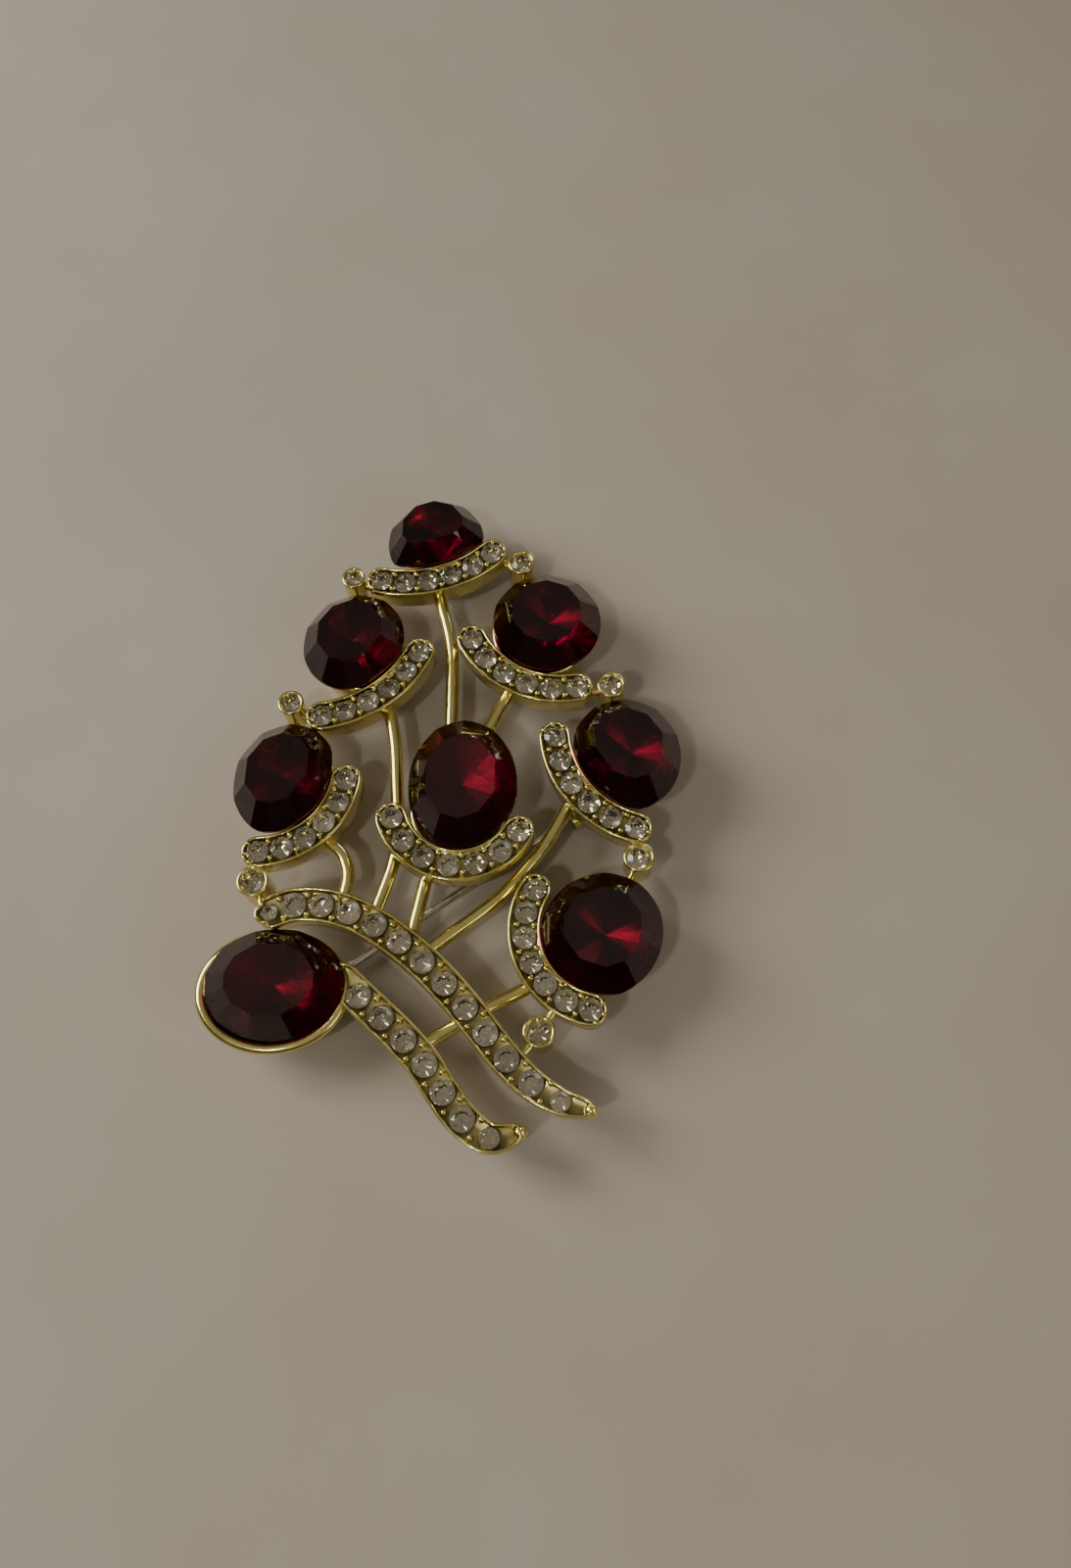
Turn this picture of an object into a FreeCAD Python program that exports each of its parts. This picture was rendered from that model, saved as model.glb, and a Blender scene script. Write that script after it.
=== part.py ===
"""A gold-toned flower-spray brooch set with red and clear glass stones.

The brooch lies on its back: +Z is its face, +Y points to the top flower and +X to its right.
The origin is below its middle, on the plane that the backs of the flower cups rest on.
Lengths are in millimetres and angles in degrees.
"""
import FreeCAD, Part
import math
import os

doc = FreeCAD.newDocument("Brooch")
sheet = doc.addObject("Spreadsheet::Sheet", "Sizes")

# ---------------------------------------------------------------- driving dimensions
SHARED = {
    # collars: crescent bands that carry a row of clear stones
    "collar_half_width": 1.5,
    "collar_bottom": 4.0,
    "collar_top": 6.8,
    "rim_thickness": 0.3,
    "channel_depth": 0.35,
    # cups: tapered sockets below the red stones
    "cup_wall": 0.5,
    "cup_floor": 0.7,
    "cup_fill": 0.9,
    "cup_taper": 0.84,
    "cup_merge": 0.6,
    # red stones, heights above the seat that the stone stands on
    "seat_height": 5.8,
    "stone_gap": 0.02,
    "girdle_low": 0.35,
    "girdle_high": 0.8,
    "crown_step": 1.9,
    "crown_height": 3.2,
    "seat_scale": 0.98,
    "step_scale": 0.87,
    "table_scale": 0.64,
    "pavilion_gap": 1.1,
    "culet_radius": 0.7,
    "pavilion_depth": 3.2,
    "culet_gap": 0.1,
    # clear stones
    "clear_radius": 1.1,
    "clear_point": 0.35,
    "clear_depth": 1.2,
    "clear_proud": 0.05,
    # the centre flower stands this much higher than the others, and its cup rests on the stems
    "centre_lift": 1.4,
    "centre_cup_bottom": 5.38,
    # oval stone at the foot of the spray
    "oval_x": -15.9,
    "oval_y": -18.3,
    "oval_long": 6.7,
    "oval_wide": 5.3,
    "oval_wall": 0.75,
    "oval_seat_height": 5.55,
    "oval_cup_x": -0.3,
    "oval_cup_y": -0.25,
    "oval_cup_long": 7.15,
    "oval_cup_wide": 5.75,
    "oval_bottom": 3.0,
    "oval_rim": 6.2,
    # stems and links
    "stem_radius": 0.66,
    "stem_height": 4.7,
    "low_stem_height": 3.32,
    "joint_depth": 0.3,
    "link_wall": 0.3,
    "link_bottom": 2.85,
    "link_top": 6.5,
    "link_arm_radius": 0.45,
    "cup_arm_height": 3.3,
    "collar_arm_height": 4.9,
    # ribbon tails
    "tail_half_width": 1.6,
    "tail_bottom": 4.0,
    "tail_top": 6.6,
    "tail_clear_scale": 1.07,
    "last_clear_scale": 0.85,
    "tip_half_width": 0.45,
    "tip_ball_radius": 0.7,
    # pin, hinge and catch
    "hinge_x": -13.0,
    "hinge_y": -17.8,
    "pin_turn": 34.6,
    "pin_height": 1.5,
    "pin_radius": 0.4,
    "pin_reach": 31.3,
    "pin_straight": 28.6,
    "pin_tip_radius": 0.08,
    "pin_overrun": 1.7,
    "eye_radius": 0.85,
    "eye_width": 0.9,
    "rivet_radius": 0.35,
    "rivet_gap": 0.05,
    "rivet_head": 0.55,
    "rivet_head_height": 0.25,
    "ear_thickness": 0.5,
    "ear_gap": 1.1,
    "ear_radius": 0.9,
    "plate_length": 2.8,
    "plate_thickness": 0.5,
    "catch_length": 2.4,
    "catch_radius": 1.4,
    "catch_bore": 1.05,
    "catch_opening": 130,
    "lip_length": 0.3,
    "lip_bore": 0.62,
    "rotor_radius": 1.0,
    "rotor_bore": 0.5,
    "rotor_gap": 0.05,
    "rotor_slot": 1.0,
    "lever_angle": 48,
    "lever_reach": 1.9,
    "lever_thickness": 0.45,
    "lever_length": 0.9,
    "post_across": 1.4,
    "post_along": 1.6,
}

# Each flower: middle of its collar's arc, direction from there to the collar's middle, radius and
# half sweep of the row of clear stones, how many, then the red stone's centre along and across that
# direction, its half length and half width, the turn of its length, and how far it leans outward.
FLOWER_WORDS = ("x", "y", "turn", "arc", "half_sweep", "count",
                "along", "across", "half_long", "half_wide", "stone_turn", "lean")
FLOWERS = {
    "top": (-4.7, 36.7, 285, 13.0, 27, 6, 8.6, 0.6, 5.2, 5.0, 90, 12),
    "upper_left": (-14.4, 21.1, 305.5, 12.4, 28.5, 6, 5.8, 1.2, 5.7, 5.25, 90, 10),
    "upper_right": (11.2, 21.5, 242.5, 10.1, 36.5, 6, 2.9, -0.1, 5.5, 5.7, 0, 8),
    "left": (-18.5, 3.1, 311.5, 8.5, 40.5, 6, 2.25, 1.1, 6.1, 5.2, 90, 10),
    "right": (21.3, 7.0, 219, 10.8, 35, 6, 4.6, -0.3, 6.0, 5.4, 90, 8),
    "lower_right": (15.3, -13.3, 204, 7.8, 54, 7, 0.7, 0.25, 6.2, 5.65, 55, 5),
    "centre": (1.2, -0.7, 263, 6.7, 67, 7, -1.4, 0.2, 6.85, 5.3, 90, 0),
}

# Each link: its place and radius, the collar that it hangs from, the angle of that point on the
# collar's arc (measured from the collar's middle), and the cup or tail that its other arm reaches.
LINKS = {
    "top_left": (-10.4, 24.4, 1.15, "top", -27, "upper_left"),
    "top_right": (7.1, 25.9, 1.35, "top", 27, "upper_right"),
    "side_left": (-16.1, 10.3, 1.25, "upper_left", -28.5, "left"),
    "side_right": (16.2, 11.8, 1.35, "upper_right", 36.5, "right"),
    "foot_left": (-18.6, -8.3, 1.5, "left", -40.5, (-17.4, -11.6)),
    "foot_right": (18.5, -6.3, 1.45, "right", 35, "lower_right"),
    "tail": (8.9, -22.9, 1.45, "lower_right", 31, (6.6, -25.5)),
}

# Each stem: the angle on its collar's arc where it starts, its height, and the rest of its course
# down to the ribbon, whose bends are arcs.
STEMS = {
    "left": (2, "stem_height", ((-10.4, -5.1), (-9.6, -7.2), (-10.1, -10.0))),
    "upper_left": (0.7, "stem_height", ((-5.6, 6.5), (-4.8, -4.8), (-7.0, -11.4))),
    "top": (-2.2, "stem_height", ((0.0, 17.0), (0.0, 2.0), (-3.2, -12.9))),
    "upper_right": (-1.7, "stem_height", ((3.2, 6.6), (0.4, 2.4))),
    "right": (-1.4, "stem_height", ((9.5, -4.5), (5.3, -9.7), (-1.7, -14.8))),
    "lower_right": (9, "low_stem_height", ((3.6, -20.2), (-2.3, -23.6))),
}

# Centre lines of the two ribbon tails, the number of clear stones on each, how far along the line
# the first one is and its scale, and a power that spreads the row towards the tip when above 1.
TAILS = {
    "long": (((-17.8, -12.0), (-14.6, -10.7), (-11.4, -10.8), (-4.2, -14.4), (2.8, -21.5),
              (8.4, -27.7), (13.6, -29.9)), 13, 1.2, 0.72, 1.08),
    "short": (((-9.6, -17.9), (-6.0, -21.2), (-1.4, -26.0), (2.0, -30.7), (4.4, -32.3),
               (7.2, -31.8)), 7, 2.3, 1.07, 1.0),
}


def fill_sheet():
    row = 0
    entries = dict(SHARED)
    for name, values in FLOWERS.items():
        for word, value in zip(FLOWER_WORDS, values):
            entries[f"{name}_{word}"] = value
    for alias, value in entries.items():
        row += 1
        sheet.set(f"A{row}", alias)
        sheet.set(f"B{row}", str(value))
        sheet.setAlias(f"B{row}", alias)
    doc.recompute()


def size(alias):
    return float(getattr(sheet, alias))


def bind(thing, **expressions):
    """Tie an object's properties to the sheet; a bare word in an expression is a cell's alias."""
    for prop, expression in expressions.items():
        thing.setExpression(prop, expression)
    return thing


def solid(kind, name, place="placement(vector(0; 0; 0); rotation(0; 0; 0))", **expressions):
    thing = doc.addObject("Part::" + kind, name)
    bind(thing, Placement=place, **expressions)
    return thing


def boolean(kind, name, base, tool):
    thing = doc.addObject("Part::" + kind, name)
    thing.Base = base
    thing.Tool = tool
    return thing


def group(kind, name, members):
    """kind is MultiFuse, or Compound for solids that only travel together."""
    thing = doc.addObject("Part::" + kind, name)
    if kind == "Compound":
        thing.Links = members
    else:
        thing.Shapes = members
    return thing


def at(x="0", y="0", z="0", turn="0", pitch="0", roll="0"):
    return f"placement(vector({x}; {y}; {z}); rotation({turn}; {pitch}; {roll}))"


def on_arc(radius, angle, z):
    """A place at this angle on an arc about the local origin, facing outward."""
    return f"{at(turn=angle)} * {at(x=radius, z=z)}"


PARTS = {}


def keep(label, thing, place=None):
    """Name a finished sub-part and put it in its place on the brooch."""
    thing.Label = label
    if place:
        bind(thing, Placement=place)
    PARTS[label] = thing
    return thing


# ---------------------------------------------------------------- cut stones
def ring(points, pivot, scale, z, lean):
    """One row of corners: the outline shrunk towards the pivot, at height z, on a leaning plane."""
    corners = []
    for x, y in points:
        px = pivot[0] + scale * (x - pivot[0])
        py = pivot[1] + scale * (y - pivot[1])
        corners.append(FreeCAD.Vector(px, py, z + lean * (px - pivot[0])))
    return corners


def facets(rings):
    """A closed solid of flat facets between successive rings of corners."""
    faces = [Part.Face(Part.makePolygon(end + end[:1])) for end in (rings[0], rings[-1])]
    for low, high in zip(rings, rings[1:]):
        for i in range(len(low)):
            j = (i + 1) % len(low)
            faces.append(Part.Face(Part.makePolygon([low[i], low[j], high[j], high[i], low[i]])))
    shape = Part.Solid(Part.Shell(faces))
    if shape.Volume < 0:
        shape.reverse()
    return shape


def stone_outline(centre, pivot, half_long, half_wide, turn, wall=None, reach_of_wall=0,
                  corners=18):
    """Corners of an oval girdle seen from the pivot, trimmed where a collar's round wall
    about the origin passes, within this many degrees of +X."""
    points = []
    for k in range(corners):
        angle = 2 * math.pi * k / corners
        dx, dy = math.cos(angle), math.sin(angle)
        reach = oval_reach(centre, pivot, (dx, dy), half_long, half_wide, turn)
        x, y = pivot[0] + reach * dx, pivot[1] + reach * dy
        if abs(math.degrees(math.atan2(y, x))) < reach_of_wall and math.hypot(x, y) > wall:
            reach = oval_reach((0, 0), pivot, (dx, dy), wall, wall, 0)
        points.append((pivot[0] + reach * dx, pivot[1] + reach * dy))
    return points


def oval_reach(centre, start, heading, half_long, half_wide, turn):
    """Distance from a point inside an oval to its edge along a heading."""
    c, s = math.cos(turn), math.sin(turn)
    ox, oy = start[0] - centre[0], start[1] - centre[1]
    px, py = (ox * c + oy * s) / half_long, (oy * c - ox * s) / half_wide
    dx = (heading[0] * c + heading[1] * s) / half_long
    dy = (heading[1] * c - heading[0] * s) / half_wide
    a, b, k = dx * dx + dy * dy, px * dx + py * dy, px * px + py * py - 1
    return (math.sqrt(b * b - a * k) - b) / a


def red_stone(name, outline, pivot, cup, hollow_radius, seat, floor, lean):
    """A faceted stone: culet, pavilion, flat seat ring, girdle, stepped crown and table."""
    slope = math.tan(math.radians(lean))
    turns = [2 * math.pi * k / len(outline) for k in range(len(outline))]
    hollow = [(cup[0] + hollow_radius * math.cos(t), cup[1] + hollow_radius * math.sin(t))
              for t in turns]
    culet = max(seat - size("pavilion_depth"), floor + size("culet_gap"))
    seat_at_cup = seat + slope * (cup[0] - pivot[0])
    rings = [ring(hollow, cup, size("culet_radius") / hollow_radius, culet, slope),
             ring(hollow, cup, 1, seat_at_cup, slope),
             ring(outline, pivot, size("seat_scale"), seat, slope),
             ring(outline, pivot, 1, seat + size("girdle_low"), slope),
             ring(outline, pivot, 1, seat + size("girdle_high"), slope),
             ring(outline, pivot, size("step_scale"), seat + size("crown_step"), slope),
             ring(outline, pivot, size("table_scale"), seat + size("crown_height"), slope)]
    stone = doc.addObject("Part::Feature", name)
    stone.Shape = facets(rings)
    return stone


def clear_stone(name, place, scale=1):
    """A small pointed stone whose flat top is its widest part."""
    cone = solid("Cone", name, place)
    return bind(cone, Radius1="Sizes.clear_point", Radius2=f"Sizes.clear_radius * {scale}",
                Height="Sizes.clear_depth")


# ---------------------------------------------------------------- flowers
def arc_band(name, arc, half_sweep, half_width, bottom, height):
    """A crescent band about the local origin, centred on +X, with round ends."""
    start = at(z=bottom, turn=f"-{half_sweep}")
    sweep = f"2 * {half_sweep}"
    outer = solid("Cylinder", name + "_outer", start, Radius=f"{arc} + {half_width}",
                  Height=height, Angle=sweep)
    inner = solid("Cylinder", name + "_inner", start, Radius=f"{arc} - {half_width}",
                  Height=height)
    sector = boolean("Cut", name + "_sector", outer, inner)
    ends = [solid("Cylinder", f"{name}_end_{side}", on_arc(arc, f"{side} * {half_sweep}", bottom),
                  Radius=half_width, Height=height) for side in (-1, 1)]
    return group("MultiFuse", name, [sector] + ends)


def flower_place(name):
    return at(x=f"Sizes.{name}_x", y=f"Sizes.{name}_y", turn=f"Sizes.{name}_turn")


def flower_plan(name):
    """Where the red stone and the cup sit in a flower's own plan, and how large the cup is."""
    value = {word: size(f"{name}_{word}") for word in FLOWER_WORDS}
    wall = value["arc"] - size("collar_half_width")
    centre = (value["along"], value["across"])
    turn = math.radians(value["stone_turn"] - value["turn"])
    shape = (value["half_long"], value["half_wide"], turn)
    near = oval_reach(centre, centre, (1, 0), *shape)
    low, high = centre[0] - near, min(centre[0] + near, wall)
    pivot = ((low + high) / 2, centre[1])
    cup_radius = size("cup_fill") * min((high - low) / 2, value["half_wide"])
    cup = (wall - cup_radius + size("cup_merge"), pivot[1])
    return value, shape, centre, wall, pivot, cup, cup_radius


def flower(name):
    """One flower: a cast setting (collar and cup), its red stone and its row of clear stones."""
    value, shape, centre, wall, pivot, cup_centre, cup_radius = flower_plan(name)
    is_centre = name == "centre"
    lift = "Sizes.centre_lift" if is_centre else "0"
    bottom = size("centre_cup_bottom") if is_centre else 0
    seat = size("seat_height") + (size("centre_lift") if is_centre else 0)
    arc, half = f"Sizes.{name}_arc", f"Sizes.{name}_half_sweep"

    band_end = math.degrees(1.2 * size("collar_half_width") / value["arc"])
    outline = stone_outline(centre, pivot, *shape, wall - size("stone_gap"),
                            value["half_sweep"] + band_end)
    hollow_radius = cup_radius - size("cup_wall")
    stone = red_stone(name + "_cut_stone", outline, pivot, cup_centre,
                      hollow_radius - size("pavilion_gap"), seat, bottom + size("cup_floor"),
                      value["lean"])

    pitch = 2 * value["half_sweep"] / (value["count"] - 1)
    clear_base = f"Sizes.collar_top + Sizes.clear_proud - Sizes.clear_depth + {lift}"
    clears = [clear_stone(f"{name}_clear_{k}",
                          on_arc(arc, f"{round(k * pitch - value['half_sweep'], 3)}", clear_base))
              for k in range(int(value["count"]))]
    clear_group = group("Compound", name + "_clear_group", clears)

    band = arc_band(name + "_band", arc, half, "Sizes.collar_half_width",
                    f"Sizes.collar_bottom + {lift}", "Sizes.collar_top - Sizes.collar_bottom")
    channel = arc_band(name + "_channel", arc, half,
                       "(Sizes.collar_half_width - Sizes.rim_thickness)",
                       f"Sizes.collar_top - Sizes.channel_depth + {lift}",
                       "2 * Sizes.channel_depth")
    height = seat + size("girdle_high") - bottom
    cup_outer = solid("Cone", name + "_cup_outer", at(x=cup_centre[0], y=cup_centre[1], z=bottom),
                      Radius1=f"{cup_radius} * Sizes.cup_taper", Radius2=f"{cup_radius}",
                      Height=f"{height}")
    cup_inner = solid("Cone", name + "_cup_inner",
                      at(x=cup_centre[0], y=cup_centre[1], z=f"{bottom} + Sizes.cup_floor"),
                      Radius1=f"{cup_radius} * Sizes.cup_taper - Sizes.cup_wall",
                      Radius2=f"{cup_radius} - Sizes.cup_wall",
                      Height=f"{height} - Sizes.cup_floor + 0.5")
    collar = boolean("Cut", name + "_collar_channelled", band, channel)
    collar = boolean("Cut", name + "_collar_drilled", collar, clear_group)
    cup = boolean("Cut", name + "_cup_hollowed", cup_outer, cup_inner)
    cup = boolean("Cut", name + "_cup_beside_row", cup, clear_group)
    casting = group("MultiFuse", name + "_casting", [collar, cup])
    setting = boolean("Cut", name + "_casting_seated", casting, stone)

    place = flower_place(name)
    keep(name + "_setting", setting, place)
    keep(name + "_red_stone", group("Compound", name + "_stone_set", [stone]), place)
    keep(name + "_clear_stones", group("Compound", name + "_clear_set", clears), place)


# ---------------------------------------------------------------- oval stone at the foot
def oval_cup():
    """The oval stone and its shallow cup, whose wall shows along the lower edge. Returns the
    space above the cup's plan, which the ribbon tails stay out of."""
    outline = stone_outline((0, 0), (0, 0), size("oval_long"), size("oval_wide"), 0)
    floor = size("oval_bottom") + size("cup_floor")
    hollow = size("oval_wide") - size("oval_wall") - size("pavilion_gap") - size("cup_wall")
    stone = red_stone("oval_cut_stone", outline, (0, 0), (0, 0), hollow,
                      size("oval_seat_height"), floor, 0)

    def oval_wall(name, bottom, height):
        edge = solid("Ellipse", name + "_edge",
                     at(x="Sizes.oval_cup_x", y="Sizes.oval_cup_y", z=bottom),
                     MajorRadius="Sizes.oval_cup_long", MinorRadius="Sizes.oval_cup_wide")
        block = doc.addObject("Part::Extrusion", name)
        block.Base = edge
        block.DirMode = "Custom"
        block.Dir = FreeCAD.Vector(0, 0, 1)
        block.Solid = True
        return bind(block, LengthFwd=height)

    outer = oval_wall("oval_outer", "Sizes.oval_bottom", "Sizes.oval_rim - Sizes.oval_bottom")
    keep_clear = oval_wall("oval_keep_clear", "Sizes.oval_bottom", "6")
    inner = solid("Cylinder", "oval_hollow", at(z="Sizes.oval_bottom + Sizes.cup_floor"),
                  Radius="Sizes.oval_wide - Sizes.oval_wall - Sizes.cup_wall", Height="4")
    cup = boolean("Cut", "oval_cup_seated", outer, stone)
    cup = boolean("Cut", "oval_cup_hollowed", cup, inner)
    place = at(x="Sizes.oval_x", y="Sizes.oval_y")
    keep("oval_cup", cup, place)
    keep("oval_red_stone", group("Compound", "oval_stone_set", [stone]), place)
    clear_space = group("Compound", "oval_space", [keep_clear])
    return bind(clear_space, Placement=place)


# ---------------------------------------------------------------- ribbon tails
def spline(points):
    curve = Part.BSplineCurve()
    curve.interpolate([FreeCAD.Vector(x, y, 0) for x, y in points])
    return curve


def tail_edge(curve, half_width, side, stations=9):
    """A smooth line beside the centre line, closing in to the tip half width at the far end."""
    points = []
    first, last = curve.FirstParameter, curve.LastParameter
    tip = min(size("tip_half_width"), half_width)
    for k in range(stations):
        share = k / (stations - 1)
        u = first + share * (last - first)
        width = tip + (half_width - tip) * math.sqrt(1 - share ** 6)
        spot, heading = curve.value(u), curve.tangent(u)[0]
        points.append((spot.x - side * width * heading.y, spot.y + side * width * heading.x))
    return points


def tail_block(curve, half_width, bottom, height):
    """The ribbon's plan outline, raised into a solid."""
    left, right = (tail_edge(curve, half_width, side) for side in (1, -1))
    line = [FreeCAD.Vector(*point, 0) for point in (left[0], left[-1], right[-1], right[0])]
    edges = [spline(left).toShape(), Part.makeLine(line[1], line[2]),
             spline(right).toShape(), Part.makeLine(line[3], line[0])]
    face = Part.Face(Part.Wire(Part.__sortEdges__(edges)))
    face.translate(FreeCAD.Vector(0, 0, bottom))
    return face.extrude(FreeCAD.Vector(0, 0, height))


def ribbon_tail(name, points, count, start, first_scale, spread):
    curve = spline(points)
    top, bottom = size("tail_top"), size("tail_bottom")
    depth = size("channel_depth")
    width = size("tail_half_width")
    tip = FreeCAD.Vector(*points[-1], (top + bottom) / 2)
    casting = tail_block(curve, width, bottom, top - bottom)
    casting = casting.fuse(Part.makeSphere(size("tip_ball_radius"), tip))

    length = curve.length()
    margin = size("tail_half_width")
    run = length - start - 1.8 * margin
    scales = [first_scale] + [size("tail_clear_scale")] * (count - 2) + [size("last_clear_scale")]
    clears = []
    for k, scale in enumerate(scales):
        u = curve.parameterAtDistance(start + run * (k / (count - 1)) ** spread)
        spot = curve.value(u)
        clears.append(clear_stone(f"{name}_tail_clear_{k}", at(
            x=f"{round(spot.x, 4)}", y=f"{round(spot.y, 4)}",
            z="Sizes.tail_top + Sizes.clear_proud - Sizes.clear_depth"), scale))
    inner = curve.copy()
    inner.segment(curve.parameterAtDistance(size("rim_thickness")),
                  curve.parameterAtDistance(length - margin))
    channel = tail_block(inner, width - size("rim_thickness"), top - depth, 2 * depth)

    block = doc.addObject("Part::Feature", name + "_tail_block")
    block.Shape = casting.cut(channel).removeSplitter()
    seats = group("Compound", name + "_tail_seats", clears)
    tail = boolean("Cut", name + "_tail_seated", block, seats)
    keep(name + "_tail_clear_stones", group("Compound", name + "_tail_set", clears))
    return tail


# ---------------------------------------------------------------- stems and links
def stem(name, angle, height, points):
    """A round wire from a flower's collar, along straight runs joined by tangent arcs."""
    z = size(height)
    start = collar_point(name, angle, size("collar_half_width") - size("joint_depth"))
    corners = [FreeCAD.Vector(x, y, z) for x, y in (start, *points)]
    edges, start = [], corners[0]
    for before, corner, after in zip(corners, corners[1:], corners[2:]):
        way_in, way_out = (corner - before).normalize(), (after - corner).normalize()
        cut = 0.45 * min((corner - before).Length, (after - corner).Length)
        arc_start, arc_end = corner - way_in * cut, corner + way_out * cut
        half = way_in.getAngle(way_out) / 2
        radius = cut / math.tan(half)
        middle = corner + (way_out - way_in).normalize() * radius * (1 / math.cos(half) - 1)
        edges += [Part.makeLine(start, arc_start), Part.Arc(arc_start, middle, arc_end).toShape()]
        start = arc_end
    edges.append(Part.makeLine(start, corners[-1]))
    path = Part.Wire(edges)
    profile = Part.Wire(Part.makeCircle(size("stem_radius"), corners[0], corners[1] - corners[0]))
    wire = doc.addObject("Part::Feature", name + "_wire")
    wire.Shape = path.makePipeShell([profile], True, False)
    keep(name + "_stem", wire)


def collar_point(name, angle, beyond=0):
    """A point on a flower's row of clear stones, or this far outside it, in the brooch's plan."""
    turn = math.radians(size(f"{name}_turn") + angle)
    arc = size(f"{name}_arc") + beyond
    return (size(f"{name}_x") + arc * math.cos(turn), size(f"{name}_y") + arc * math.sin(turn))


def cup_point(name):
    """The middle of a flower's cup in the brooch's plan, and the cup's radius at arm height."""
    value, _, _, _, _, cup, radius = flower_plan(name)
    turn = math.radians(value["turn"])
    rise = size("cup_arm_height") / (size("seat_height") + size("girdle_high"))
    taper = size("cup_taper")
    return ((value["x"] + cup[0] * math.cos(turn) - cup[1] * math.sin(turn),
             value["y"] + cup[0] * math.sin(turn) + cup[1] * math.cos(turn)),
            radius * (taper + (1 - taper) * rise))


def link(name, x, y, radius, collar, angle, other):
    """A small round bezel with two arms, one to a collar and one to the next cup or the ribbon."""
    tube = solid("Cylinder", name + "_tube", at(z="Sizes.link_bottom"),
                 Radius=f"{radius}", Height="Sizes.link_top - Sizes.link_bottom")
    scale = (radius - size("link_wall")) / size("clear_radius")
    clear = clear_stone(name + "_link_clear", at(
        z="Sizes.link_top + Sizes.clear_proud - Sizes.clear_depth"), scale)
    if isinstance(other, str):
        (far_x, far_y), far_radius = cup_point(other)
        far_height = "Sizes.cup_arm_height"
    else:
        (far_x, far_y), far_radius = other, size("tail_half_width")
        far_height = "Sizes.collar_arm_height"
    near_x, near_y = collar_point(collar, angle)
    arms = []
    for side, tx, ty, stop, height in (
            ("near", near_x, near_y, size("collar_half_width"), "Sizes.collar_arm_height"),
            ("far", far_x, far_y, far_radius, far_height)):
        reach = math.hypot(tx - x, ty - y) - stop + size("joint_depth")
        heading = round(math.degrees(math.atan2(ty - y, tx - x)), 3)
        arms.append(solid("Cylinder", f"{name}_arm_{side}", at(z=height, turn=heading, pitch="90"),
                          Radius="Sizes.link_arm_radius", Height=f"{round(reach, 3)}"))
    bezel = group("MultiFuse", name + "_bezel", [tube] + arms)
    bezel = boolean("Cut", name + "_bezel_seated", bezel, clear)
    keep(name + "_link", bezel, at(x=x, y=y))
    return clear, at(x=x, y=y)


# ---------------------------------------------------------------- pin, hinge and catch
def pin_frame(distance="0"):
    """The pin's line: local +X runs from the hinge to the catch."""
    return (f"{at(x='Sizes.hinge_x', y='Sizes.hinge_y', z='Sizes.pin_height', turn='Sizes.pin_turn')}"
            f" * {at(x=distance)}")


def hinge():
    """Two round-ended ears under the oval cup, joined by a plate, and a headed rivet."""
    outer = "(Sizes.ear_gap / 2 + Sizes.ear_thickness)"
    underside = "(Sizes.oval_bottom - Sizes.pin_height)"
    pieces = [solid("Box", "hinge_plate",
                    at(x="Sizes.ear_radius - Sizes.plate_length", y=f"-{outer}",
                       z=f"{underside} - Sizes.plate_thickness"),
                    Length="Sizes.plate_length", Width=f"2 * {outer}",
                    Height="Sizes.plate_thickness")]
    for side, start in (("left", "Sizes.ear_gap / 2"), ("right", f"-{outer}")):
        pieces.append(solid("Box", f"hinge_ear_{side}", at(x="-Sizes.ear_radius", y=start),
                            Length="2 * Sizes.ear_radius", Width="Sizes.ear_thickness",
                            Height=underside))
        pieces.append(solid("Cylinder", f"hinge_ear_end_{side}",
                            at(y=f"{start} + Sizes.ear_thickness", roll="90"),
                            Radius="Sizes.ear_radius", Height="Sizes.ear_thickness"))
    rivet_parts = [solid("Cylinder", "rivet_shank", at(y=outer, roll="90"),
                         Radius="Sizes.rivet_radius", Height=f"2 * {outer}")]
    for side, start in (("left", f"{outer} + Sizes.rivet_head_height"), ("right", f"-{outer}")):
        rivet_parts.append(solid("Cylinder", f"rivet_head_{side}", at(y=start, roll="90"),
                                 Radius="Sizes.rivet_head", Height="Sizes.rivet_head_height"))
    rivet = group("MultiFuse", "rivet_body", rivet_parts)
    bracket = boolean("Cut", "hinge_drilled", group("MultiFuse", "hinge_body", pieces), rivet)
    keep("hinge_bracket", bracket, pin_frame())
    keep("hinge_rivet", group("Compound", "rivet_set", [rivet]), pin_frame())


def pin():
    """A straight wire with a flat eye at the hinge and a sharp point past the catch."""
    eye = solid("Cylinder", "pin_eye", at(y="Sizes.eye_width / 2", roll="90"),
                Radius="Sizes.eye_radius", Height="Sizes.eye_width")
    hole = solid("Cylinder", "pin_eye_hole", at(y="Sizes.eye_width", roll="90"),
                 Radius="Sizes.rivet_radius + Sizes.rivet_gap", Height="2 * Sizes.eye_width")
    shank_start = "(Sizes.eye_radius - 0.2)"
    shank = solid("Cylinder", "pin_shank", at(x=shank_start, pitch="90"),
                  Radius="Sizes.pin_radius", Height=f"Sizes.pin_straight - {shank_start}")
    point = solid("Cone", "pin_point", at(x="Sizes.pin_straight", pitch="90"),
                  Radius1="Sizes.pin_radius", Radius2="Sizes.pin_tip_radius",
                  Height="Sizes.pin_reach + Sizes.pin_overrun - Sizes.pin_straight")
    body = group("MultiFuse", "pin_body", [eye, shank, point])
    keep("pin_stem", boolean("Cut", "pin_drilled", body, hole), pin_frame())


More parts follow.
